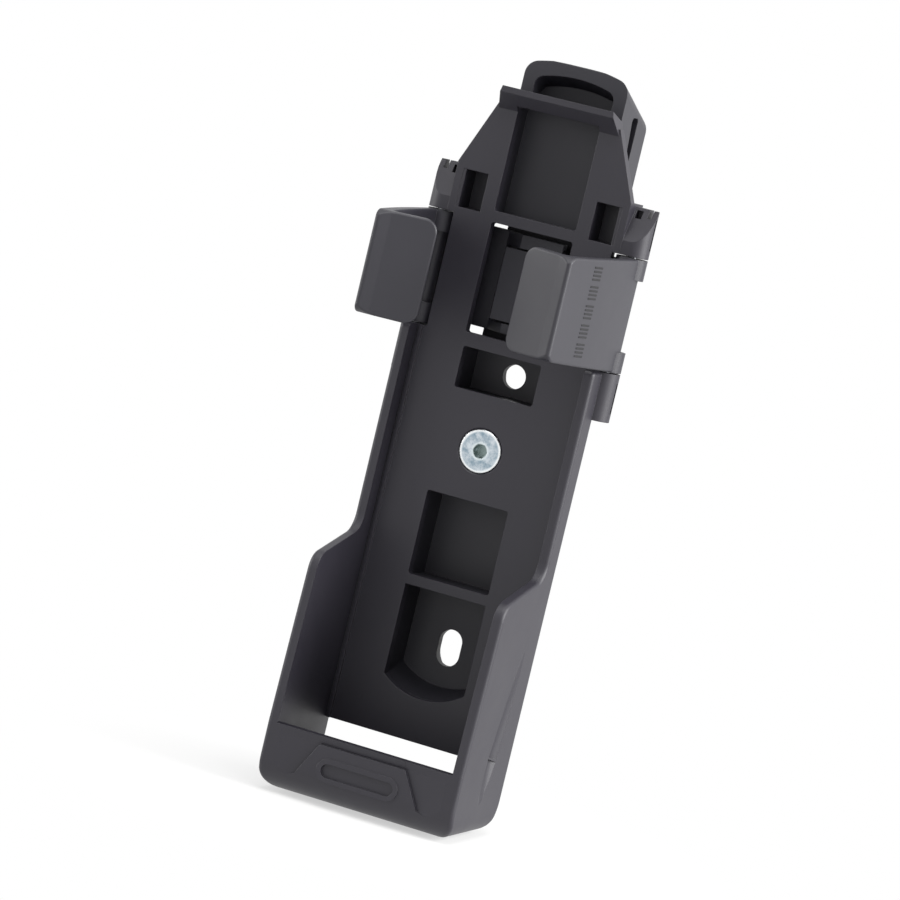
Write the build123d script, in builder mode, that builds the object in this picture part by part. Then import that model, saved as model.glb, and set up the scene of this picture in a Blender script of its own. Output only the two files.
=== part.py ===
from build123d import *
from math import cos, radians, sin, tan
import os

os.makedirs("parts", exist_ok=True)

# Folding-lock bracket for a bicycle frame, in millimetres.
# X is across the bracket, +Y points back to the frame tube, +Z is up along the tube.
# The origin is the upper frame-screw hole, where its spacer ring meets the tube.

# Depths, from the tube forwards
tube_radius = 22.0
spacer_depth = 8.0
floor_thickness = 2.0
recess_depth = 11.0
plate_thickness = 2.4
wall_height = 5.2
pocket_depth_top = 26.4
pocket_depth_bottom = 28.4

floor_back = -spacer_depth
floor_front = floor_back - floor_thickness
plate_front = floor_front - recess_depth
plate_back = plate_front + plate_thickness
wall_rim = plate_front - wall_height
pocket_rim_top = plate_front - pocket_depth_top
pocket_rim_bottom = plate_front - pocket_depth_bottom

# Frame screws: a round hole and a slot at the bottle-cage spacing
hole_spacing = 64.0
frame_hole_radius = 2.8
frame_slot_length = 8.6
ring_bore_radius = 5.6
ring_wall = 1.8

# Carrier: tray and pocket
tray_half_width = 23.9
tray_wall = 2.4
tray_inner = tray_half_width - tray_wall
plate_bottom = -85.4
pocket_bottom = -100.0
pocket_floor = 2.8
floor_back_radius = 7.5
back_opening_bottom = -91.5
pocket_corner_radius = 4.2
band_thickness = 2.8
band_top = -85.1
band_draft = 0.2
band_blend_radius = 6.0
band_low_radius = 7.0
rim_end_radius = 1.2
step_top = -41.0
step_bottom = -46.6
step_radius = 4.5
scoop_depth = 0.7
scoop_outer_x = 21.0
scoop_top_x = 10.5
scoop_low_x = 15.0
scoop_end_x = 19.0
scoop_z = (-87.0, -95.0)
scoop_run_out = 1.6
badge_length = 20.0
badge_height = 5.5
badge_z = -92.3
badge_border = 1.2
badge_proud = 0.25
badge_sunk = 0.5
groove_radius = 4.0
groove_path = ((-28.0, -57.0, 0.0), (-32.3, -82.0, 1.2), (-35.0, -95.0, -0.3))
drain_half_width = 12.0
drain_depth = 11.0
bead_width = 0.8
bead_height = 0.5
bead_inset = 0.5
rim_round = 1.0
back_round = 2.2
drain_front_gap = 8.0

# Carrier: windows in the plate
window_half_width = 10.0
hole_recess_half_width = 9.6
hole_recess = (-4.7, 4.8)
lever_window = (8.0, 33.4)
top_recess = (36.0, 60.0)
middle_recess_top = -28.9
recess_bar = 2.4
slot_recess_above = 13.1
slot_recess_side_drop = 8.0
slot_recess_drop = 11.6
slot_recess_lift = 2.4
window_radius = 0.6

# Carrier: head
shoulder_half_width = 21.2
shoulder_top = 45.0
head_half_width = 14.7
head_top = 60.4
lip_half_width = 13.1
lip_rise = 3.5
lip_reach = 4.0
lip_thickness = 1.6
lip_edge = 1.4
head_depth = 8.6
shoulder_gap = 0.15
pocket_hole_inner = 13.3
pocket_hole_outer = 19.5
pocket_hole_z = (34.9, 43.6)
pocket_hole_depth = 6.8
notch_half_width = 19.4

# Hinges of the two clamps
hinge_x = 23.2
hinge_setback = 3.7
pin_radius = 1.2
pin_clearance = 0.06
pin_reach = 5.2
pin_end_gap = 0.3
pin_recess = 0.6
pin_chamfer = 0.3
knuckle_radius = 3.6
barrel_radius = 2.45
knuckle_height = 4.7
hinge_gap = 0.3
block_web_inner = 18.8
upper_block_height = 11.0
lower_block_height = 11.0
block_slope_start = 3.2
block_slope_back = 4.2
block_slot_depth = 1.0
block_slot_width = 1.8
block_slot_margin = 2.0
block_slot_setback = 0.6
block_hole = (1.5, 1.8)
block_hole_depth = 5.4
block_hole_drop = 1.6
block_notch_width = 1.0
block_notch_depth = 2.0
block_notch_x = 1.9

# Clamps
clamp_bottom = 7.3
clamp_top = 33.2
clamp_front_taper = 1.4
clamp_wall = 2.4
clamp_bulge_x = 25.5
clamp_bulge_depth = 16.0
ridge_x = 23.3
ridge_depth = 36.8
lip_angle = 24.8
clamp_lip_width = 14.3
ridge_height = 0.3
ridge_width = 1.2
ridge_round = 0.8
cove_width = 3.6
cove_radius = 2.0
inner_corner_radius = 1.2
clamp_corner_radius = 3.0
clamp_edge_round = 0.5
lever_setback = 7.6
lever_thickness = 2.4
lever_bottom = 9.3
lever_top = 32.2
lever_web_end = 8.0
tongue_setback = 4.2
tongue_thickness = 2.2
tongue_reach = 6.7
tongue_slope = 4.5
tongue_z = (12.0, 28.6)
finger_gap = 0.45

# Mounting rail
rail_half_width = 12.6
rail_wall = 2.2
rail_inner = rail_half_width - rail_wall
lower_pad_height = 5.4
rail_end_wall = 2.4
pad_stand = 0.6
rail_side_back = 3.0
top_recess_depth = 7.0
lever_zone = (6.6, 34.6)
lever_web_half_width = 9.9
rib_half_width = 6.0
rib_thickness = 1.8
rib_setback = 0.9
rail_end_radius = 2.5
roof_margin = 0.3
nut_block_half_height = 10.0
recess_gap = 0.2

# Hood at the rail's top
hood_setback = 5.4
hood_top = 72.2
hood_crown = 1.9
hood_corner_radius = 3.4
hood_wall = 2.9
hood_roof = 3.2
roof_drop = 0.38
roof_back_radius = 4.0
hood_inner_radius = 2.4
hood_inner_crown = 1.6
hood_opening_bottom = 62.4
hood_base = 47.0
hood_cell_z = (47.0, 64.0)
hood_back_wall = 2.2
strap_slot_z = (52.6, 63.4)
strap_slot_y = (-8.4, -4.2)
strap_slot_low_y = -6.4
strap_slot_radius = 1.0

# Centre screw: M5 countersunk, hexagon socket
screw_z = -17.4
screw_radius = 2.5
screw_length = 14.0
screw_head_radius = 4.95
screw_head_angle = 90.0
screw_clearance = 0.3
screw_sink = 0.15
screw_tip = 0.6
socket_across_flats = 3.0
socket_depth = 2.1
boss_radius = 7.2
boss_depth = 2.0
boss_clearance = 0.4
nut_across_flats = 8.0
nut_thickness = 4.0
nut_clearance = 0.2

# Rubber pads between the rail and the tube
upper_pad_z = (36.8, 45.0)
pad_gap = 0.3


def front_plane(y):
    """A plane facing forwards at depth y: local x is X, local y is Z."""
    return Plane.XZ.offset(-y)


def height(z_range):
    return z_range[1] - z_range[0]


def middle(z_range):
    return (z_range[0] + z_range[1]) / 2


def crowned_outline(half_width, top, crown, bottom, corner_radius):
    """The hood's outline seen from the front: a crowned top with round corners."""
    with BuildSketch() as outline:
        with BuildLine():
            Polyline((-half_width, top - crown), (-half_width, bottom), (half_width, bottom), (half_width, top - crown))
            ThreePointArc((half_width, top - crown), (0, top), (-half_width, top - crown))
        make_face()
        fillet(outline.vertices().group_by(Axis.Y)[-1], corner_radius)
    return outline.sketch


def slot_recess_outline(margin, lift=0):
    """The lowest window's outline with its curved foot, widened by margin, its foot raised by lift."""
    side = window_half_width + margin
    with BuildSketch() as outline:
        with BuildLine():
            Polyline(
                (-side, slot_recess_side + lift),
                (-side, slot_recess_top + margin),
                (side, slot_recess_top + margin),
                (side, slot_recess_side + lift),
            )
            ThreePointArc((side, slot_recess_side + lift), (0, slot_recess_low + lift), (-side, slot_recess_side + lift))
        make_face()
    return outline.sketch


hinge_y = plate_front + hinge_setback
clamp_bulge_y = plate_front - clamp_bulge_depth
ridge_y = plate_front - ridge_depth
lever_front = plate_front + lever_setback
tongue_front = plate_front + tongue_setback
hood_front = plate_front + hood_setback
lip_top = head_top + lip_rise
shoulder_inner = rail_half_width + shoulder_gap
floor_slope = floor_back_radius - pocket_floor
slot_z = -hole_spacing
slot_recess_top = slot_z + slot_recess_above
slot_recess_side = slot_z - slot_recess_side_drop
slot_recess_low = slot_z - slot_recess_drop
back_opening = (back_opening_bottom, plate_bottom)
middle_recess = (slot_recess_top + recess_bar, middle_recess_top)
rib_places = (slot_recess_top + rib_setback, middle(middle_recess))
upper_block_z = (clamp_top + hinge_gap, clamp_top + hinge_gap + upper_block_height)
lower_block_z = (clamp_bottom - hinge_gap - lower_block_height, clamp_bottom - hinge_gap)
tray_top = lower_block_z[1]
pin_top = upper_block_z[0] + pin_reach
slot_travel = frame_slot_length - 2 * frame_hole_radius
lower_pad_top = slot_z - slot_travel / 2 - ring_bore_radius - ring_wall - pad_gap
lower_pad_z = (lower_pad_top - lower_pad_height, lower_pad_top)
rail_bottom = lower_pad_z[0] - rail_end_wall
shoulder_z = (upper_block_z[0], shoulder_top)

# Lip along the head's top edge, leaning forwards
with BuildPart() as lip:
    with BuildSketch(Plane.YZ):
        with BuildLine():
            Polyline(
                (plate_back, head_top - lip_thickness),
                (plate_front, head_top - lip_thickness),
                (plate_front - lip_reach, lip_top - lip_edge),
                (plate_front - lip_reach, lip_top),
                (plate_back, head_top + lip_thickness),
                close=True,
            )
        make_face()
    extrude(amount=head_half_width, both=True)
    with BuildSketch(front_plane(plate_back)):
        with BuildLine():
            Polyline(
                (-head_half_width, head_top - lip_thickness),
                (-lip_half_width, lip_top + lip_thickness),
                (lip_half_width, lip_top + lip_thickness),
                (head_half_width, head_top - lip_thickness),
                close=True,
            )
        make_face()
    extrude(amount=plate_thickness + lip_reach, mode=Mode.INTERSECT)

# Carrier: one moulding with tray, pocket, head and hinge blocks
with BuildPart() as carrier:
    with BuildSketch(front_plane(plate_back)):
        with BuildLine():
            FilletPolyline(
                (-tray_half_width, tray_top),
                (-tray_half_width, pocket_bottom),
                (tray_half_width, pocket_bottom),
                (tray_half_width, tray_top),
                radius=pocket_corner_radius,
            )
            Line((tray_half_width, tray_top), (-tray_half_width, tray_top))
        make_face()
    extrude(amount=plate_back - pocket_rim_bottom)
    with BuildSketch(Plane.YZ):
        with BuildLine():
            FilletPolyline(
                (plate_back, tray_top),
                (wall_rim, tray_top),
                (wall_rim, step_top),
                (pocket_rim_top, step_bottom),
                (pocket_rim_bottom, band_top),
                (pocket_rim_bottom, pocket_bottom - band_draft),
                (plate_back, pocket_bottom - band_draft),
                (plate_back, plate_bottom),
                radius=[
                    rim_end_radius,
                    step_radius,
                    step_radius,
                    band_blend_radius,
                    band_low_radius,
                    floor_back_radius,
                ],
            )
            Line((plate_back, plate_bottom), (plate_back, tray_top))
        make_face()
    extrude(amount=2 * tray_half_width, both=True, mode=Mode.INTERSECT)
    fillet(
        carrier.faces().filter_by(Axis.X).edges().filter_by(lambda e: e.center().Y < wall_rim + 2.0),
        rim_round,
    )
    fillet(
        carrier.edges().filter_by(Axis.Z).filter_by(lambda e: e.center().Y > plate_back - 0.1),
        back_round,
    )
    # Hollow of the tray and the pocket
    with BuildSketch(front_plane(plate_front)):
        with Locations((0, (upper_block_z[0] + band_top) / 2)):
            Rectangle(2 * tray_inner, upper_block_z[0] - band_top)
    extrude(amount=2 * pocket_depth_bottom, mode=Mode.SUBTRACT)
    with BuildSketch(front_plane(plate_front)):
        with BuildLine():
            FilletPolyline(
                (-tray_inner, band_top + 1.0),
                (-tray_inner, pocket_bottom + pocket_floor),
                (tray_inner, pocket_bottom + pocket_floor),
                (tray_inner, band_top + 1.0),
                radius=pocket_corner_radius - tray_wall,
            )
            Line((tray_inner, band_top + 1.0), (-tray_inner, band_top + 1.0))
        make_face()
    extrude(amount=pocket_depth_bottom - band_thickness, mode=Mode.SUBTRACT)
    # Slope between the pocket's floor and its back
    with BuildSketch(Plane.YZ):
        with BuildLine():
            Polyline(
                (plate_front, pocket_bottom + pocket_floor),
                (plate_front, pocket_bottom + pocket_floor + floor_slope),
                (plate_front - floor_slope, pocket_bottom + pocket_floor),
                close=True,
            )
        make_face()
    extrude(amount=tray_inner, both=True)
    # Opening behind the pocket, below the plate
    with BuildSketch(front_plane(plate_front)):
        with Locations((0, middle(back_opening))):
            Rectangle(2 * tray_inner, height(back_opening))
    extrude(amount=-2 * plate_thickness, mode=Mode.SUBTRACT)
    # Scoops in the band's front, beside and above a raised middle that widens downwards
    for side in (-1, 1):
        for z, edge_x, depth in (
            (band_top + rim_round, scoop_top_x - 1.0, rim_round / 10),
            (scoop_z[0], scoop_top_x, scoop_depth),
            (scoop_z[1], scoop_low_x, scoop_depth),
            (scoop_z[1] - scoop_run_out, scoop_end_x, scoop_depth / 5),
        ):
            with BuildSketch(Plane.XY.offset(z)):
                with BuildLine():
                    Polyline(
                        (side * edge_x, pocket_rim_bottom - 1.0),
                        (side * edge_x, pocket_rim_bottom + depth),
                        (side * scoop_outer_x, pocket_rim_bottom - 0.05),
                        (side * scoop_outer_x, pocket_rim_bottom - 1.0),
                        close=True,
                    )
                make_face()
        loft(ruled=True, mode=Mode.SUBTRACT)
    with BuildSketch(Plane.YZ):
        with BuildLine():
            Polyline(
                (pocket_rim_bottom - 1.0, scoop_z[0]),
                (pocket_rim_bottom + scoop_depth, scoop_z[0]),
                (pocket_rim_bottom - 0.05, band_top + rim_round),
                (pocket_rim_bottom - 1.0, band_top + rim_round),
                close=True,
            )
        make_face()
    extrude(amount=scoop_top_x, both=True, mode=Mode.SUBTRACT)
    # Bare oval badge with a raised border
    with BuildSketch(front_plane(pocket_rim_bottom)):
        with Locations((0, badge_z)):
            SlotOverall(badge_length, badge_height)
    extrude(amount=badge_proud)
    with BuildSketch(front_plane(pocket_rim_bottom - badge_proud)):
        with Locations((0, badge_z)):
            SlotOverall(badge_length - 2 * badge_border, badge_height - 2 * badge_border)
    extrude(amount=-badge_proud - badge_sunk, mode=Mode.SUBTRACT)
    # Long groove in each outer side, deepest two thirds of the way down
    for side in (-1, 1):
        stations = [Vector(side * (tray_half_width + groove_radius - depth), y, z) for y, z, depth in groove_path]
        for start, end in zip(stations, stations[1:]):
            with BuildSketch(Plane(origin=start, z_dir=end - start)):
                Circle(groove_radius)
            extrude(amount=(end - start).length, mode=Mode.SUBTRACT)
    # Drain in the pocket floor
    with BuildSketch(Plane.XY.offset(pocket_bottom)):
        with Locations((0, plate_front - drain_front_gap - drain_depth / 2)):
            RectangleRounded(2 * drain_half_width, drain_depth, drain_depth / 4)
    extrude(amount=2 * pocket_floor, mode=Mode.SUBTRACT)
    # Beads along the foot of the walls
    with BuildSketch(front_plane(plate_front)):
        with Locations(
            (tray_inner - bead_inset - bead_width / 2, (tray_top + plate_bottom) / 2),
            (-tray_inner + bead_inset + bead_width / 2, (tray_top + plate_bottom) / 2),
        ):
            Rectangle(bead_width, tray_top - plate_bottom)
    extrude(amount=bead_height)
    # Head plate with its shoulders, and the narrow plate between the clamps
    with BuildSketch(front_plane(plate_back)):
        with BuildLine():
            Polyline(
                (-notch_half_width, tray_top - 1.0),
                (-notch_half_width, upper_block_z[0]),
                (-shoulder_half_width, upper_block_z[0]),
                (-shoulder_half_width, shoulder_top),
                (-head_half_width, head_top),
                (head_half_width, head_top),
                (shoulder_half_width, shoulder_top),
                (shoulder_half_width, upper_block_z[0]),
                (notch_half_width, upper_block_z[0]),
                (notch_half_width, tray_top - 1.0),
                close=True,
            )
        make_face()
    extrude(amount=plate_thickness)
    add(lip.part)
    # Hollow shoulders behind the head, beside the rail
    with BuildSketch(front_plane(plate_front)):
        for side in (-1, 1):
            with Locations((side * (shoulder_inner + shoulder_half_width) / 2, middle(shoulder_z))):
                Rectangle(shoulder_half_width - shoulder_inner, height(shoulder_z))
    extrude(amount=-head_depth)
    with BuildSketch(front_plane(plate_front)):
        for side in (-1, 1):
            with Locations((side * (pocket_hole_inner + pocket_hole_outer) / 2, middle(pocket_hole_z))):
                Rectangle(pocket_hole_outer - pocket_hole_inner, height(pocket_hole_z))
    extrude(amount=-pocket_hole_depth, mode=Mode.SUBTRACT)
    # Hinge blocks with their webs, and the pin bores
    for block_z in (lower_block_z, upper_block_z):
        with BuildSketch(Plane.XY.offset(block_z[0])):
            for side in (-1, 1):
                with Locations((side * hinge_x, hinge_y)):
                    Circle(knuckle_radius)
                with Locations((side * (block_web_inner + hinge_x) / 2, hinge_y)):
                    Rectangle(hinge_x - block_web_inner, 2 * knuckle_radius)
        extrude(amount=height(block_z))
    # Upper blocks lean back towards the top
    for side in (-1, 1):
        with BuildSketch(Plane.YZ.offset(side * shoulder_half_width)):
            with BuildLine():
                Polyline(
                    (hinge_y - 2 * knuckle_radius, upper_block_z[0] + block_slope_start),
                    (hinge_y - knuckle_radius, upper_block_z[0] + block_slope_start),
                    (hinge_y - knuckle_radius + block_slope_back, upper_block_z[1]),
                    (hinge_y - 2 * knuckle_radius, upper_block_z[1]),
                    close=True,
                )
            make_face()
        extrude(amount=side * 2 * knuckle_radius, mode=Mode.SUBTRACT)
    # Slot in each block's outer side, and a notch and a blind hole at the upper blocks' tops
    for block_z in (lower_block_z, upper_block_z):
        with BuildSketch(Plane.XY.offset(block_z[0] + block_slot_margin)):
            for side in (-1, 1):
                with Locations((side * (hinge_x + knuckle_radius), hinge_y + block_slot_setback)):
                    Rectangle(2 * block_slot_depth, block_slot_width)
        extrude(amount=height(block_z) - 2 * block_slot_margin, mode=Mode.SUBTRACT)
    with BuildSketch(front_plane(hinge_y - knuckle_radius)):
        for side in (-1, 1):
            with Locations((side * (hinge_x - block_hole[0] / 2), upper_block_z[1] - block_hole_drop)):
                Rectangle(*block_hole)
    extrude(amount=-block_hole_depth, mode=Mode.SUBTRACT)
    with BuildSketch(front_plane(hinge_y - knuckle_radius)):
        for side in (-1, 1):
            with Locations((side * (hinge_x + block_notch_x), upper_block_z[1])):
                Rectangle(block_notch_width, 2 * block_notch_depth)
    extrude(amount=-2 * knuckle_radius, mode=Mode.SUBTRACT)
    with BuildSketch(Plane.XY.offset(lower_block_z[0])):
        with Locations((-hinge_x, hinge_y), (hinge_x, hinge_y)):
            Circle(pin_radius)
    extrude(amount=pin_top + pin_end_gap - lower_block_z[0], mode=Mode.SUBTRACT)
    # Windows
    with BuildSketch(front_plane(plate_front)):
        with Locations((0, middle(hole_recess))):
            RectangleRounded(2 * hole_recess_half_width, height(hole_recess), window_radius)
        with Locations((0, middle(lever_window))):
            RectangleRounded(2 * window_half_width, height(lever_window), window_radius)
        with Locations((0, middle(top_recess))):
            RectangleRounded(2 * window_half_width, height(top_recess), window_radius)
        with Locations((0, middle(middle_recess))):
            RectangleRounded(2 * window_half_width, height(middle_recess), window_radius)
        add(slot_recess_outline(0))
    extrude(amount=-plate_thickness, mode=Mode.SUBTRACT)
    with BuildSketch(front_plane(plate_front)):
        with Locations((0, middle(top_recess))):
            Rectangle(2 * window_half_width, height(top_recess))
    extrude(amount=lip_reach, mode=Mode.SUBTRACT)
    # Boss and countersink for the centre screw
    with BuildSketch(front_plane(plate_front)):
        with Locations((0, screw_z)):
            Circle(boss_radius)
    extrude(amount=-plate_thickness - boss_depth)
    with Locations(front_plane(plate_front) * Pos(0, screw_z, 0)):
        CounterSinkHole(
            screw_radius + screw_clearance,
            screw_head_radius + screw_clearance + screw_sink,
            counter_sink_angle=screw_head_angle,
        )
carrier.part.label = "carrier"
export_step(carrier.part, "parts/carrier.step")

# Mounting rail: hollow moulding between the carrier and the tube, ending in the hood
def leaning_back(depth):
    """Direction and length of a sweep that goes back by depth and follows the hood's falling roof."""
    way = Vector(0, 1, -roof_drop)
    return way, depth * way.length


roof_way, roof_length = leaning_back(rail_side_back - hood_front)
cavity_back = floor_back - hood_back_wall
cavity_way, cavity_length = leaning_back(cavity_back - hood_front)
hood_inner_half_width = rail_half_width - hood_wall
nut_block_z = (screw_z - nut_block_half_height, screw_z + nut_block_half_height)

with BuildPart() as rail:
    # Body behind the plate
    with BuildSketch(front_plane(rail_side_back)):
        with BuildLine():
            FilletPolyline(
                (-rail_half_width, head_top),
                (-rail_half_width, rail_bottom),
                (rail_half_width, rail_bottom),
                (rail_half_width, head_top),
                radius=rail_end_radius,
            )
            Line((rail_half_width, head_top), (-rail_half_width, head_top))
        make_face()
    extrude(amount=rail_side_back - plate_back)
    # Hood
    with BuildSketch(front_plane(hood_front)):
        add(crowned_outline(rail_half_width, hood_top, hood_crown, hood_base, hood_corner_radius))
    extrude(amount=roof_length, dir=roof_way)
    with BuildSketch(Plane.YZ):
        with BuildLine():
            FilletPolyline(
                (plate_back, rail_bottom),
                (plate_back, hood_top + roof_drop * (hood_front - plate_back) + roof_margin),
                (rail_side_back, hood_top - roof_drop * (rail_side_back - hood_front) + roof_margin),
                (rail_side_back, rail_bottom),
                radius=roof_back_radius,
            )
            Line((rail_side_back, rail_bottom), (plate_back, rail_bottom))
        make_face()
    extrude(amount=2 * rail_half_width, both=True, mode=Mode.INTERSECT)
    # Cells behind the floor, open to the tube
    for cell_z in ((rail_bottom + rail_end_wall, nut_block_z[0]), (nut_block_z[1], upper_pad_z[1]), hood_cell_z):
        with BuildSketch(front_plane(floor_back)):
            with Locations((0, middle(cell_z))):
                Rectangle(2 * rail_inner, height(cell_z))
        extrude(amount=-2 * spacer_depth, mode=Mode.SUBTRACT)
    # Cross ribs and the two long ribs behind the clamps' levers
    with BuildSketch(front_plane(floor_back)):
        for z in rib_places:
            with Locations((0, z)):
                Rectangle(2 * rail_inner, rib_thickness)
        for side in (-1, 1):
            with Locations((side * rib_half_width, (nut_block_z[1] + upper_pad_z[0]) / 2)):
                Rectangle(rib_thickness, upper_pad_z[0] - nut_block_z[1])
    extrude(amount=-spacer_depth - rail_side_back)
    # Saddle for the tube
    with BuildSketch(Plane.XY.offset(rail_bottom)):
        with Locations((0, tube_radius)):
            Circle(tube_radius + pad_stand)
    extrude(amount=hood_top - rail_bottom, mode=Mode.SUBTRACT)
    # Spacer rings round the frame screws
    with BuildSketch(front_plane(0)):
        Circle(ring_bore_radius + ring_wall)
        with Locations((0, slot_z)):
            SlotCenterToCenter(slot_travel, 2 * (ring_bore_radius + ring_wall), rotation=90)
    extrude(amount=spacer_depth)
    with BuildSketch(front_plane(rail_side_back)):
        Circle(ring_bore_radius)
        with Locations((0, slot_z)):
            SlotCenterToCenter(slot_travel, 2 * ring_bore_radius, rotation=90)
    extrude(amount=rail_side_back - floor_back, mode=Mode.SUBTRACT)
    # Recesses seen through the plate's windows
    with BuildSketch(front_plane(plate_back)):
        with Locations((0, middle(hole_recess))):
            Rectangle(2 * (hole_recess_half_width + recess_gap), height(hole_recess) + 2 * recess_gap)
        with Locations((0, middle(middle_recess))):
            Rectangle(2 * (window_half_width + recess_gap), height(middle_recess) + 2 * recess_gap)
    extrude(amount=plate_back - floor_front, mode=Mode.SUBTRACT)
    with BuildSketch(front_plane(plate_back)):
        add(slot_recess_outline(recess_gap))
    with BuildSketch(front_plane(floor_front)):
        add(slot_recess_outline(recess_gap, slot_recess_lift))
    loft(ruled=True, mode=Mode.SUBTRACT)
    with BuildSketch(front_plane(plate_back)):
        with Locations((0, middle(top_recess))):
            Rectangle(2 * (window_half_width + recess_gap), height(top_recess) + 2 * recess_gap)
    extrude(amount=-(top_recess_depth - plate_thickness), mode=Mode.SUBTRACT)
    # Frame-screw hole and slot
    with BuildSketch(front_plane(floor_back)):
        Circle(frame_hole_radius)
        with Locations((0, slot_z)):
            SlotCenterToCenter(slot_travel, 2 * frame_hole_radius, rotation=90)
    extrude(amount=floor_thickness, mode=Mode.SUBTRACT)
    # Room for the levers: open in front of the floor and at both sides
    with BuildSketch(front_plane(plate_back)):
        with Locations((0, middle(lever_zone))):
            Rectangle(2 * rail_half_width, height(lever_zone))
    extrude(amount=plate_back - floor_front, mode=Mode.SUBTRACT)
    with BuildSketch(front_plane(plate_back)):
        for side in (-1, 1):
            with Locations((side * (lever_web_half_width + rail_half_width) / 2, middle(lever_zone))):
                Rectangle(rail_half_width - lever_web_half_width, height(lever_zone))
    extrude(amount=plate_back - rail_side_back, mode=Mode.SUBTRACT)
    # Hollow of the hood
    with BuildSketch(front_plane(hood_front)):
        add(
            crowned_outline(
                hood_inner_half_width,
                hood_top - hood_roof,
                hood_inner_crown,
                hood_opening_bottom,
                hood_inner_radius,
            )
        )
    extrude(amount=cavity_length, dir=cavity_way, mode=Mode.SUBTRACT)
    # Strap slots through the hood's sides
    with BuildSketch(Plane.YZ) as slot_outline:
        with BuildLine():
            Polyline(
                (strap_slot_y[0], strap_slot_z[1]),
                (strap_slot_y[1], strap_slot_z[1]),
                (strap_slot_y[1], strap_slot_z[0]),
                (strap_slot_low_y, strap_slot_z[0]),
                close=True,
            )
        make_face()
        fillet(slot_outline.vertices(), strap_slot_radius)
    extrude(amount=2 * rail_half_width, both=True, mode=Mode.SUBTRACT)
    # Seat for the carrier's boss, screw hole and nut pocket
    with BuildSketch(front_plane(plate_back)):
        with Locations((0, screw_z)):
            Circle(boss_radius + boss_clearance)
    extrude(amount=-boss_depth - boss_clearance, mode=Mode.SUBTRACT)
    with BuildSketch(front_plane(plate_back)):
        with Locations((0, screw_z)):
            Circle(screw_radius + screw_clearance)
    extrude(amount=plate_back - floor_back, mode=Mode.SUBTRACT)
    with BuildSketch(front_plane(0)):
        with Locations((0, screw_z)):
            RegularPolygon((nut_across_flats + nut_clearance) / 2, 6, major_radius=False)
    extrude(amount=spacer_depth + nut_thickness, mode=Mode.SUBTRACT)
rail.part.label = "mounting_rail"
export_step(rail.part, "parts/mounting_rail.step")

# Centre screw, countersunk, with its hexagon socket
screw_top = plate_front + screw_sink
head_height = (screw_head_radius - screw_radius) / tan(radians(screw_head_angle / 2))
with BuildPart() as screw:
    with BuildSketch(Plane.YZ):
        with BuildLine():
            Polyline(
                (screw_top, screw_z),
                (screw_top, screw_z + screw_head_radius),
                (screw_top + head_height, screw_z + screw_radius),
                (screw_top + screw_length - screw_tip, screw_z + screw_radius),
                (screw_top + screw_length, screw_z + screw_radius - screw_tip),
                (screw_top + screw_length, screw_z),
                close=True,
            )
        make_face()
    revolve(axis=Axis((0, 0, screw_z), (0, 1, 0)))
    with BuildSketch(front_plane(screw_top)):
        with Locations((0, screw_z)):
            RegularPolygon(socket_across_flats / 2, 6, major_radius=False)
    extrude(amount=-socket_depth, mode=Mode.SUBTRACT)
screw.part.label = "centre_screw"
export_step(screw.part, "parts/centre_screw.step")

# Nut in the rail's pocket
with BuildPart() as nut:
    with BuildSketch(front_plane(floor_back)):
        with Locations((0, screw_z)):
            RegularPolygon(nut_across_flats / 2, 6, major_radius=False)
            Circle(screw_radius, mode=Mode.SUBTRACT)
    extrude(amount=nut_thickness)
nut.part.label = "centre_nut"
export_step(nut.part, "parts/centre_nut.step")

# Rubber pads that meet the tube
for name, pad_z in (("upper_tube_pad", upper_pad_z), ("lower_tube_pad", lower_pad_z)):
    with BuildPart() as pad:
        with BuildSketch(front_plane(floor_back)):
            with Locations((0, middle(pad_z))):
                Rectangle(2 * rail_inner, height(pad_z))
        extrude(amount=-spacer_depth - rail_side_back)
        with BuildSketch(Plane.XY.offset(pad_z[0])):
            with Locations((0, tube_radius)):
                Circle(tube_radius)
        extrude(amount=height(pad_z), mode=Mode.SUBTRACT)
    pad.part.label = name
    export_step(pad.part, f"parts/{name}.step")


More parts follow.
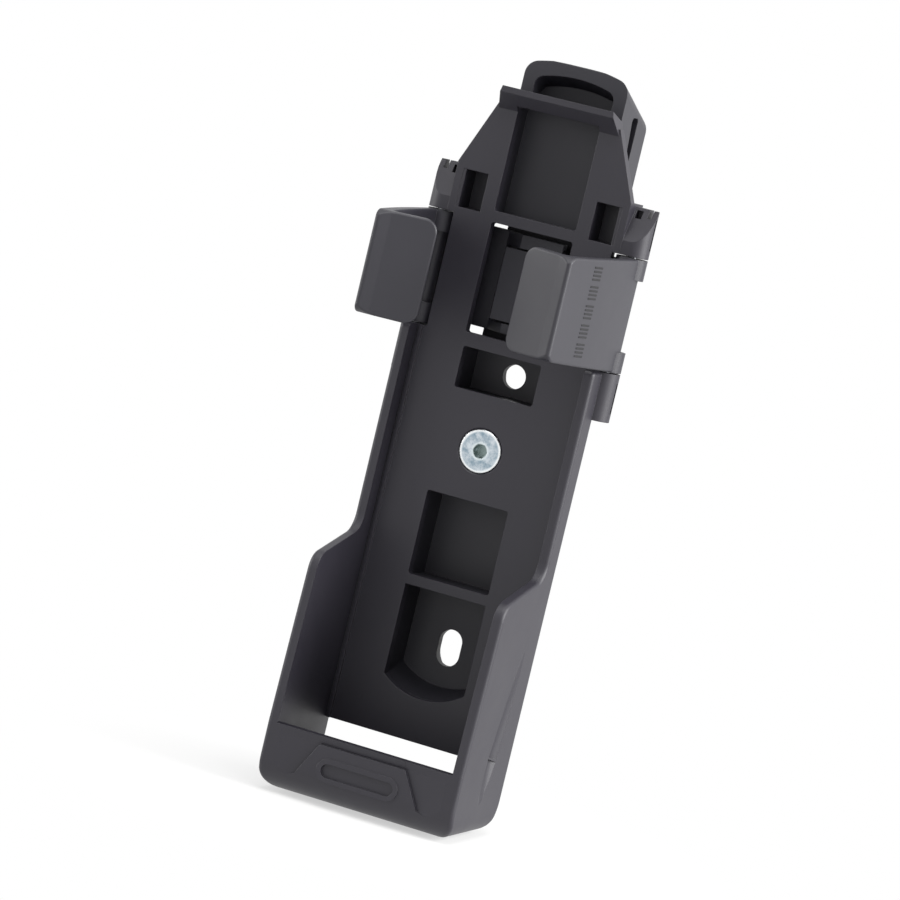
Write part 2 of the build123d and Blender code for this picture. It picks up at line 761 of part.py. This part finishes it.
def clamp(side, reaches, name):
    """One clamp, for the right side (1) or the left (-1); reaches are the Z ranges of its long fingers."""
    tilt = radians(lip_angle)
    inward = Vector(-side * cos(tilt), sin(tilt))
    outward = Vector(-side * sin(tilt), -cos(tilt))
    ridge = Vector(side * ridge_x, ridge_y)

    def at(x, y):
        return (side * x, y)

    def on_lip(along, proud):
        """A point in plan: its distance from the ridge along the lip, and its height above the lip's face."""
        place = ridge + inward * along + outward * (proud - ridge_height)
        return (place.X, place.Y)

    hinge_outer = at(hinge_x + barrel_radius, hinge_y)
    hinge_inner = at(hinge_x + barrel_radius - clamp_wall, hinge_y)
    inner_corner = on_lip((clamp_wall + (clamp_wall + ridge_height) * sin(tilt)) / cos(tilt), -clamp_wall)
    cove_foot = on_lip(cove_width, 0)
    with BuildPart() as body:
        # Wall and lip in plan
        with BuildSketch(Plane.XY.offset(clamp_bottom)) as plan:
            with BuildLine():
                ThreePointArc(hinge_outer, at(clamp_bulge_x, clamp_bulge_y), at(ridge_x, ridge_y))
                Polyline(
                    at(ridge_x, ridge_y),
                    on_lip(ridge_width, ridge_height),
                    cove_foot,
                    on_lip(clamp_lip_width, 0),
                    on_lip(clamp_lip_width, -clamp_wall),
                    inner_corner,
                )
                ThreePointArc(inner_corner, at(clamp_bulge_x - clamp_wall, clamp_bulge_y), hinge_inner)
                Line(hinge_inner, hinge_outer)
            make_face()
            for corner, radius in (
                (at(ridge_x, ridge_y), ridge_round),
                (cove_foot, cove_radius),
                (inner_corner, inner_corner_radius),
            ):
                fillet(plan.vertices().sort_by_distance(Vector(*corner, clamp_bottom))[0], radius)
        extrude(amount=clamp_top - clamp_bottom)
        # Side view, a little lower at the front, with round front corners
        with BuildSketch(Plane.YZ):
            with BuildLine():
                FilletPolyline(
                    (hinge_y, clamp_top),
                    (ridge_y, clamp_top - clamp_front_taper),
                    (ridge_y, clamp_bottom + clamp_front_taper),
                    (hinge_y, clamp_bottom),
                    radius=clamp_corner_radius,
                )
                Line((hinge_y, clamp_bottom), (hinge_y, clamp_top))
            make_face()
        extrude(amount=2 * clamp_bulge_x, both=True, mode=Mode.INTERSECT)
        # Round corners at the lip's free end, then all edges in front of the hinge
        lip_end = Vector(*on_lip(clamp_lip_width, -clamp_wall / 2), 0)
        fillet(
            body.edges()
            .filter_by(Axis.Z, reverse=True)
            .filter_by(lambda e: (Vector(e.center().X, e.center().Y, 0) - lip_end).length < clamp_wall / 4),
            clamp_corner_radius,
        )
        fillet(body.edges().filter_by(lambda e: e.center().Y < hinge_y - knuckle_radius / 2), clamp_edge_round)
        # Barrel and knuckles
        with BuildSketch(Plane.XY.offset(clamp_bottom)):
            with Locations(at(hinge_x, hinge_y)):
                Circle(barrel_radius)
        extrude(amount=clamp_top - clamp_bottom)
        for z in (clamp_bottom, clamp_top - knuckle_height):
            with BuildSketch(Plane.XY.offset(z)):
                with Locations(at(hinge_x, hinge_y)):
                    Circle(knuckle_radius)
            extrude(amount=knuckle_height)
        # Lever: a web behind the plate, and fingers that reach past the middle
        with BuildSketch(Plane.XY.offset(lever_bottom)):
            with BuildLine():
                Polyline(
                    at(hinge_x - 2.0, hinge_y + 1.3),
                    at(hinge_x - knuckle_radius, lever_front),
                    at(lever_web_end, lever_front),
                    at(lever_web_end, lever_front + lever_thickness),
                    at(hinge_x - 2.6, lever_front + lever_thickness),
                    at(hinge_x + 1.0, hinge_y + 2.1),
                    close=True,
                )
            make_face()
        extrude(amount=lever_top - lever_bottom)
        for reach_z in reaches:
            with BuildSketch(Plane.XY.offset(reach_z[0])):
                with BuildLine():
                    Polyline(
                        at(lever_web_end, lever_front),
                        at(lever_web_end - tongue_slope, tongue_front),
                        at(-tongue_reach, tongue_front),
                        at(-tongue_reach, tongue_front + tongue_thickness),
                        at(lever_web_end - tongue_slope + 1.0, tongue_front + tongue_thickness),
                        at(lever_web_end, lever_front + lever_thickness),
                        close=True,
                    )
                make_face()
            extrude(amount=height(reach_z))
        # Pin bore
        with BuildSketch(Plane.XY.offset(clamp_bottom)):
            with Locations(at(hinge_x, hinge_y)):
                Circle(pin_radius + pin_clearance)
        extrude(amount=clamp_top - clamp_bottom, mode=Mode.SUBTRACT)
    body.part.label = name
    export_step(body.part, f"parts/{name}.step")


clamp(1, [tongue_z], "right_clamp")
clamp(-1, [(lever_bottom, tongue_z[0] - finger_gap), (tongue_z[1] + finger_gap, lever_top)], "left_clamp")

# Hinge pins
for side, name in ((-1, "left_hinge_pin"), (1, "right_hinge_pin")):
    with BuildPart() as pin:
        with BuildSketch(Plane.XY.offset(lower_block_z[0] + pin_recess)):
            with Locations((side * hinge_x, hinge_y)):
                Circle(pin_radius)
        extrude(amount=pin_top - lower_block_z[0] - pin_recess)
        chamfer(pin.edges(), pin_chamfer)
    pin.part.label = name
    export_step(pin.part, f"parts/{name}.step")
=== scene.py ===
import math

import bmesh
import bpy
from mathutils import Matrix, Vector


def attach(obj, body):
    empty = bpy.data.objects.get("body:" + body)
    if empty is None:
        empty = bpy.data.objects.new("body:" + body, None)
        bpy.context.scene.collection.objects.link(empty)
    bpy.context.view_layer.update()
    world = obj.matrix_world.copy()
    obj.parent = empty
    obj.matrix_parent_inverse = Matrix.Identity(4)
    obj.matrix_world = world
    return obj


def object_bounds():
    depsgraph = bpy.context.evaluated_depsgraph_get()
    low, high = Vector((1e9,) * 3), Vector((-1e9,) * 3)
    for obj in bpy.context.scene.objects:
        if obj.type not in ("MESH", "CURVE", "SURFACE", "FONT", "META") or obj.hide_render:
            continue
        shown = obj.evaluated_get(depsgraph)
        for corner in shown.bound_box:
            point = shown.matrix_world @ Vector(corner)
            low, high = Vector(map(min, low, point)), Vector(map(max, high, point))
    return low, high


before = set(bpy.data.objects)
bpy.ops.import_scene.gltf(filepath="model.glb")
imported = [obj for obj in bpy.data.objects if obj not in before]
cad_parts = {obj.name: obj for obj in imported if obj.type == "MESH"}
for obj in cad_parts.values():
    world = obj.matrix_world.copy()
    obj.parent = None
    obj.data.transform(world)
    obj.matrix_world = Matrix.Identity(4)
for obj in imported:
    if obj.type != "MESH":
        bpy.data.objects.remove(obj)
cad_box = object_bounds()

# Camera. The photograph looks at the bracket's front from 20 degrees to its right and a little
# above, from about a metre away, and the picture leans so that the bracket tilts to the right.
# The aim is in the tray plate's plane, in the frame's metres.
AIM = Vector((-0.0070, -0.0210, -0.0189))
CAMERA_AZIMUTH = math.radians(20.0)
CAMERA_ELEVATION = math.radians(5.444)
CAMERA_ROLL = math.radians(13.422)
CAMERA_DISTANCE = 1.0
CAMERA_LENS_MM = 176.9
CAMERA_SENSOR_MM = 36.0
CAMERA_CLIP = (0.01, 20.0)

level = math.cos(CAMERA_ELEVATION)
back = Vector((
    math.sin(CAMERA_AZIMUTH) * level,
    -math.cos(CAMERA_AZIMUTH) * level,
    math.sin(CAMERA_ELEVATION),
))
right = Vector((math.cos(CAMERA_AZIMUTH), math.sin(CAMERA_AZIMUTH), 0.0))
up = back.cross(right)
leaning = Matrix.Rotation(CAMERA_ROLL, 3, back)
camera_axes = Matrix((leaning @ right, leaning @ up, back)).transposed()
camera_data = bpy.data.cameras.new("camera")
camera_data.lens = CAMERA_LENS_MM
camera_data.sensor_width = CAMERA_SENSOR_MM
camera_data.clip_start = CAMERA_CLIP[0]
camera_data.clip_end = CAMERA_CLIP[1]
camera = bpy.data.objects.new("camera", camera_data)
camera.matrix_world = Matrix.Translation(AIM + CAMERA_DISTANCE * back) @ camera_axes.to_4x4()
bpy.context.scene.collection.objects.link(camera)
bpy.context.scene.camera = camera


def colour(hex_code):
    """Turns an sRGB hex value such as "#3a3a3c" to the linear colour that the shaders take."""
    channels = [int(hex_code[i:i + 2], 16) / 255 for i in (1, 3, 5)]
    linear = [c / 12.92 if c <= 0.04045 else ((c + 0.055) / 1.055) ** 2.4 for c in channels]
    return (*linear, 1.0)


def add_node(tree, kind, links=(), **settings):
    """Adds a node, sets its properties or unlinked inputs by name, and links (output, input) pairs."""
    node = tree.nodes.new(kind)
    for name, value in settings.items():
        if hasattr(node, name):
            setattr(node, name, value)
        else:
            node.inputs[name.replace("_", " ")].default_value = value
    for output, socket in links:
        tree.links.new(output, node.inputs[socket])
    return node


def join_values(tree, operation, first, second):
    """Adds a math node that joins two value outputs, and returns its output."""
    return add_node(tree, "ShaderNodeMath", [(first, 0), (second, 1)], operation=operation).outputs[0]


# Floor and light. The floor is white paper to the camera, apart from a faint shadow round the
# bracket's foot. A strong softbox stands at the right, and weaker ones at the left and above.
FLOOR_HALF_SIZE = 6.0
FLOOR_DROP = 0.0008
FOOT_Y = -0.034
SHADOW_REACH = (0.012, 0.085)
SHADOW_LIFT = 0.55
WHITE = (1.0, 1.0, 1.0, 1.0)
floor_z = cad_box[0][2] - FLOOR_DROP
floor_mesh = bmesh.new()
bmesh.ops.create_grid(floor_mesh, x_segments=1, y_segments=1, size=FLOOR_HALF_SIZE)
floor_data = bpy.data.meshes.new("floor")
floor_mesh.to_mesh(floor_data)
floor_mesh.free()
floor_data.transform(Matrix.Translation((0.0, 0.0, floor_z)))
floor = bpy.data.objects.new("floor", floor_data)
bpy.context.scene.collection.objects.link(floor)

paper = bpy.data.materials.new("white_paper")
paper.use_nodes = True
tree = paper.node_tree
tree.nodes.clear()
rays = add_node(tree, "ShaderNodeLightPath")
mirror_rays = join_values(tree, "MAXIMUM", rays.outputs["Is Glossy Ray"],
                          rays.outputs["Is Transmission Ray"])
sheet = add_node(tree, "ShaderNodeBsdfDiffuse", Color=colour("#f4f4f3"))
glow = add_node(tree, "ShaderNodeEmission", Color=WHITE, Strength=1.0)
place = add_node(tree, "ShaderNodeTexCoord")
from_foot = add_node(tree, "ShaderNodeVectorMath", [(place.outputs["Object"], 0)], operation="DISTANCE")
from_foot.inputs[1].default_value = (0.0, FOOT_Y, floor_z)
fade = add_node(
    tree,
    "ShaderNodeMapRange",
    [(from_foot.outputs["Value"], "Value")],
    interpolation_type="SMOOTHSTEP",
    From_Min=SHADOW_REACH[0],
    From_Max=SHADOW_REACH[1],
    To_Min=SHADOW_LIFT,
    To_Max=1.0,
)
faded = join_values(tree, "MULTIPLY", fade.outputs["Result"], rays.outputs["Is Camera Ray"])
white_share = join_values(tree, "MAXIMUM", faded, mirror_rays)
seen = add_node(tree, "ShaderNodeMixShader", [(white_share, 0), (sheet.outputs[0], 1), (glow.outputs[0], 2)])
add_node(tree, "ShaderNodeOutputMaterial", [(seen.outputs[0], "Surface")])
floor.data.materials.append(paper)

AMBIENT_STRENGTH = 0.45
world = bpy.data.worlds.new("white_room")
world.use_nodes = True
bpy.context.scene.world = world
tree = world.node_tree
tree.nodes.clear()
rays = add_node(tree, "ShaderNodeLightPath")
front_rays = join_values(tree, "MAXIMUM", rays.outputs["Is Camera Ray"], rays.outputs["Is Glossy Ray"])
white_rays = join_values(tree, "MAXIMUM", front_rays, rays.outputs["Is Transmission Ray"])
room = add_node(tree, "ShaderNodeBackground", Color=WHITE, Strength=AMBIENT_STRENGTH)
backdrop = add_node(tree, "ShaderNodeBackground", Color=WHITE, Strength=1.0)
mixed = add_node(tree, "ShaderNodeMixShader",
                 [(white_rays, 0), (room.outputs[0], 1), (backdrop.outputs[0], 2)])
add_node(tree, "ShaderNodeOutputWorld", [(mixed.outputs[0], "Surface")])


def add_softbox(name, azimuth, elevation, distance, size, power):
    """A square area lamp on a sphere round the camera's aim, facing it: degrees, metres and watts."""
    lamp = bpy.data.lights.new(name, "AREA")
    lamp.shape = "SQUARE"
    lamp.size = size
    lamp.energy = power
    level = math.cos(math.radians(elevation))
    way = Vector((
        math.sin(math.radians(azimuth)) * level,
        -math.cos(math.radians(azimuth)) * level,
        math.sin(math.radians(elevation)),
    ))
    facing = way.to_track_quat("Z", "Y").to_matrix().to_4x4()
    stand = bpy.data.objects.new(name, lamp)
    stand.matrix_world = Matrix.Translation(AIM + distance * way) @ facing
    bpy.context.scene.collection.objects.link(stand)


add_softbox("right_softbox", 95.0, 20.0, 1.2, 0.9, 26.0)
add_softbox("left_softbox", -75.0, 15.0, 1.4, 0.8, 9.0)
add_softbox("top_softbox", 10.0, 75.0, 1.3, 0.9, 10.0)


# Mouldings. The carrier, the rail and the clamps are glass-filled nylon, moulded in spark-eroded
# tools: a fine even grain that scatters light, near black in shade and grey where a lamp grazes it.
EDGE_ROUND_MM = 0.25
BEVEL_SAMPLES = 4
NYLON_CLOUD_MM = 14.0
PLASTIC_IOR = 1.5
CLOUD_SPAN = (0.3, 0.7)
NYLON_ROUGHNESS_SPREAD = (-0.03, 0.05)


def moulded_nylon(name, base, grain_mm, grain_depth_mm, roughness):
    """Black moulded nylon with a spark-eroded grain of the given spacing and depth."""
    material = bpy.data.materials.new(name)
    material.use_nodes = True
    tree = material.node_tree
    tree.nodes.clear()
    place = add_node(tree, "ShaderNodeTexCoord")
    grain = add_node(tree, "ShaderNodeTexNoise", [(place.outputs["Object"], "Vector")],
                     Scale=1000.0 / grain_mm, Detail=2.0, Roughness=0.6)
    cloud = add_node(tree, "ShaderNodeTexNoise", [(place.outputs["Object"], "Vector")],
                     Scale=1000.0 / NYLON_CLOUD_MM, Detail=3.0, Roughness=0.55)
    sheen = add_node(
        tree,
        "ShaderNodeMapRange",
        [(cloud.outputs["Fac"], "Value")],
        From_Min=CLOUD_SPAN[0],
        From_Max=CLOUD_SPAN[1],
        To_Min=roughness + NYLON_ROUGHNESS_SPREAD[0],
        To_Max=roughness + NYLON_ROUGHNESS_SPREAD[1],
    )
    tint = add_node(tree, "ShaderNodeMixRGB", [(cloud.outputs["Fac"], "Fac")],
                    Color1=colour(base[0]), Color2=colour(base[1]))
    edge = add_node(tree, "ShaderNodeBevel", samples=BEVEL_SAMPLES, Radius=EDGE_ROUND_MM / 1000.0)
    relief = add_node(tree, "ShaderNodeBump", [(grain.outputs["Fac"], "Height"), (edge.outputs[0], "Normal")],
                      Strength=1.0, Distance=grain_depth_mm / 1000.0)
    plastic = add_node(
        tree,
        "ShaderNodeBsdfPrincipled",
        [
            (tint.outputs[0], "Base Color"),
            (sheen.outputs[0], "Roughness"),
            (relief.outputs[0], "Normal"),
        ],
        IOR=PLASTIC_IOR,
    )
    add_node(tree, "ShaderNodeOutputMaterial", [(plastic.outputs[0], "Surface")])
    return material


def dress(node, material):
    """Gives a CAD node's object one material in place of its own."""
    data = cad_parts[node].data
    data.materials.clear()
    data.materials.append(material)


carrier_nylon = moulded_nylon("carrier_nylon", ("#211f27", "#27252d"), 0.35, 0.008, 0.46)
dress("carrier", carrier_nylon)
rail_nylon = moulded_nylon("rail_nylon", ("#201f26", "#25242b"), 0.35, 0.008, 0.49)
dress("mounting_rail", rail_nylon)
clamp_nylon = moulded_nylon("clamp_nylon", ("#232229", "#29282f"), 0.30, 0.008, 0.46)
dress("left_clamp", clamp_nylon)
dress("right_clamp", clamp_nylon)


# Centre screw and nut, and the hinge pins: zinc-plated steel, with fine concentric turning marks about the
# screw's axis and blue-grey patches of clear passivation. The screw's head has a painted highlight,
# a pale colour at its edge and round its socket, and painted shade, a darker colour in its socket. Each
# entry gives the radius where it starts, the radius where it is full, its share and its colour.
SCREW_DROP = 0.0174
TURNING_MM = 0.35
TURNING_DEPTH_MM = 0.02
PLATING_CLOUD_MM = 1.6
PATCH_SPAN = (0.34, 0.66)
STEEL_ROUGHNESS_SPREAD = (-0.1, 0.12)
# Painted highlight at the head's edge and round its socket, and painted shade in the socket: pale and dark
# colours about the screw's axis in place of light and shade.
HEAD_RIM_HIGHLIGHT = (0.00425, 0.00465, 1.0, "#f6f9fa")
SOCKET_RIM_HIGHLIGHT = (0.0023, 0.0019, 0.7, "#e6eff1")
SOCKET_PAINTED_SHADE = (0.0018, 0.0015, 0.9, "#6f7f7c")


def plated_steel(name, base, roughness, painted_rings=()):
    """Zinc-plated steel with faint turning marks, in two base colours, and any given bands of painted
    highlight and painted shade about the screw's axis.
    """
    material = bpy.data.materials.new(name)
    material.use_nodes = True
    tree = material.node_tree
    tree.nodes.clear()
    place = add_node(tree, "ShaderNodeTexCoord")
    centred = add_node(tree, "ShaderNodeMapping", [(place.outputs["Object"], "Vector")],
                       Location=(0.0, 0.0, SCREW_DROP))
    turning = add_node(
        tree,
        "ShaderNodeTexWave",
        [(centred.outputs["Vector"], "Vector")],
        wave_type="RINGS",
        rings_direction="Y",
        Scale=math.pi / 10.0 / (TURNING_MM / 1000.0),
        Distortion=1.2,
        Detail=2.0,
    )
    cloud = add_node(tree, "ShaderNodeTexNoise", [(place.outputs["Object"], "Vector")],
                     Scale=1000.0 / PLATING_CLOUD_MM, Detail=3.0, Roughness=0.6)
    patches = add_node(tree, "ShaderNodeMapRange", [(cloud.outputs["Fac"], "Value")],
                       From_Min=PATCH_SPAN[0], From_Max=PATCH_SPAN[1])
    dull = add_node(
        tree,
        "ShaderNodeMapRange",
        [(cloud.outputs["Fac"], "Value")],
        From_Min=CLOUD_SPAN[0],
        From_Max=CLOUD_SPAN[1],
        To_Min=roughness + STEEL_ROUGHNESS_SPREAD[0],
        To_Max=roughness + STEEL_ROUGHNESS_SPREAD[1],
    )
    tint = add_node(tree, "ShaderNodeMixRGB", [(patches.outputs["Result"], "Fac")],
                    Color1=colour(base[0]), Color2=colour(base[1]))
    flat = add_node(tree, "ShaderNodeVectorMath", [(centred.outputs["Vector"], 0)], operation="MULTIPLY")
    flat.inputs[1].default_value = (1.0, 0.0, 1.0)
    radius = add_node(tree, "ShaderNodeVectorMath", [(flat.outputs["Vector"], 0)], operation="LENGTH")
    # Bands of painted highlight and painted shade, blended over the base colour by distance from the screw's
    # axis.
    for start, full, share, painted_colour in painted_rings:
        painted_ring_mask = add_node(tree, "ShaderNodeMapRange", [(radius.outputs["Value"], "Value")],
                        From_Min=start, From_Max=full, To_Min=0.0, To_Max=share)
        tint = add_node(tree, "ShaderNodeMixRGB",
                        [(painted_ring_mask.outputs["Result"], "Fac"), (tint.outputs[0], "Color1")],
                        Color2=colour(painted_colour))
    edge = add_node(tree, "ShaderNodeBevel", samples=BEVEL_SAMPLES, Radius=EDGE_ROUND_MM / 1000.0)
    relief = add_node(tree, "ShaderNodeBump",
                      [(turning.outputs["Fac"], "Height"), (edge.outputs[0], "Normal")],
                      Strength=1.0, Distance=TURNING_DEPTH_MM / 1000.0)
    steel = add_node(
        tree,
        "ShaderNodeBsdfPrincipled",
        [(tint.outputs[0], "Base Color"), (dull.outputs[0], "Roughness"), (relief.outputs[0], "Normal")],
        Metallic=1.0,
    )
    add_node(tree, "ShaderNodeOutputMaterial", [(steel.outputs[0], "Surface")])
    return material


# The zinc carries the screw head's painted highlight and painted shade.
zinc = plated_steel("zinc_plate", ("#8a9eab", "#d0d8de"), 0.26, (HEAD_RIM_HIGHLIGHT, SOCKET_RIM_HIGHLIGHT, SOCKET_PAINTED_SHADE))
dress("centre_screw", zinc)
dress("centre_nut", zinc)
drawn_steel = plated_steel("drawn_steel", ("#85878b", "#97999c"), 0.3)
dress("left_hinge_pin", drawn_steel)
dress("right_hinge_pin", drawn_steel)

# Grip ticks on the right clamp's outer face: five groups of plain short bars, moulded with it
# and a little darker because their tops are left rough. They follow the face's gentle curve.
TICK_LENGTH = 0.0042
TICK_WIDTH = 0.00045
TICK_PROUD = 0.00008
TICK_Y = -0.0435
TICK_PITCH = 0.00088
TICK_GROUP_PITCH = 0.0043
TICK_GROUPS = 5
TICKS_IN_GROUP = 4
TICK_EDGE_ROUND = 0.6 * TICK_PROUD
TICK_CUTS = 5
FIRST_TICK_Z = 0.0106
FACE_POINTS = ((0.02565, -0.0173), (0.0255, -0.037), (0.0233, -0.0578))


def face_x(y):
    """The clamp's outer face at depth y: a parabola through its hinge, its bulge and its ridge."""
    total = 0.0
    for i, (x_here, y_here) in enumerate(FACE_POINTS):
        share = x_here
        for j, (_, y_other) in enumerate(FACE_POINTS):
            if j != i:
                share *= (y - y_other) / (y_here - y_other)
        total += share
    return total


tick_mesh = bmesh.new()
for group in range(TICK_GROUPS):
    for tick in range(TICKS_IN_GROUP):
        bar = bmesh.ops.create_cube(tick_mesh, size=1.0)["verts"]
        bmesh.ops.scale(tick_mesh, vec=(2 * TICK_PROUD, TICK_LENGTH, TICK_WIDTH), verts=bar)
        tick_z = FIRST_TICK_Z + group * TICK_GROUP_PITCH + tick * TICK_PITCH
        bmesh.ops.translate(tick_mesh, vec=(0.0, TICK_Y, tick_z), verts=bar)
bmesh.ops.bevel(
    tick_mesh,
    geom=tick_mesh.edges[:],
    offset=TICK_EDGE_ROUND,
    segments=2,
    affect="EDGES",
    profile=0.5,
    material=-1,
)
lengthwise = [
    edge for edge in tick_mesh.edges if abs(edge.verts[0].co.y - edge.verts[1].co.y) > TICK_LENGTH / 2
]
bmesh.ops.subdivide_edges(tick_mesh, edges=lengthwise, cuts=TICK_CUTS, use_grid_fill=True)
for point in tick_mesh.verts:
    point.co.x += face_x(point.co.y)
tick_data = bpy.data.meshes.new("grip_ticks")
tick_mesh.to_mesh(tick_data)
tick_mesh.free()
grip_ticks = bpy.data.objects.new("grip_ticks", tick_data)
bpy.context.scene.collection.objects.link(grip_ticks)
tick_data.materials.append(moulded_nylon("rough_nylon", ("#0d0c10", "#121116"), 0.25, 0.02, 0.75))
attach(grip_ticks, "right_clamp")

# Tube pads: soft black rubber, moulded, with a slightly greyer bloom.
pad_rubber = moulded_nylon("pad_rubber", ("#1b1b1c", "#202021"), 0.5, 0.01, 0.75)
dress("upper_tube_pad", pad_rubber)
dress("lower_tube_pad", pad_rubber)

scene_view = bpy.context.scene.view_settings
scene_view.view_transform = "Standard"
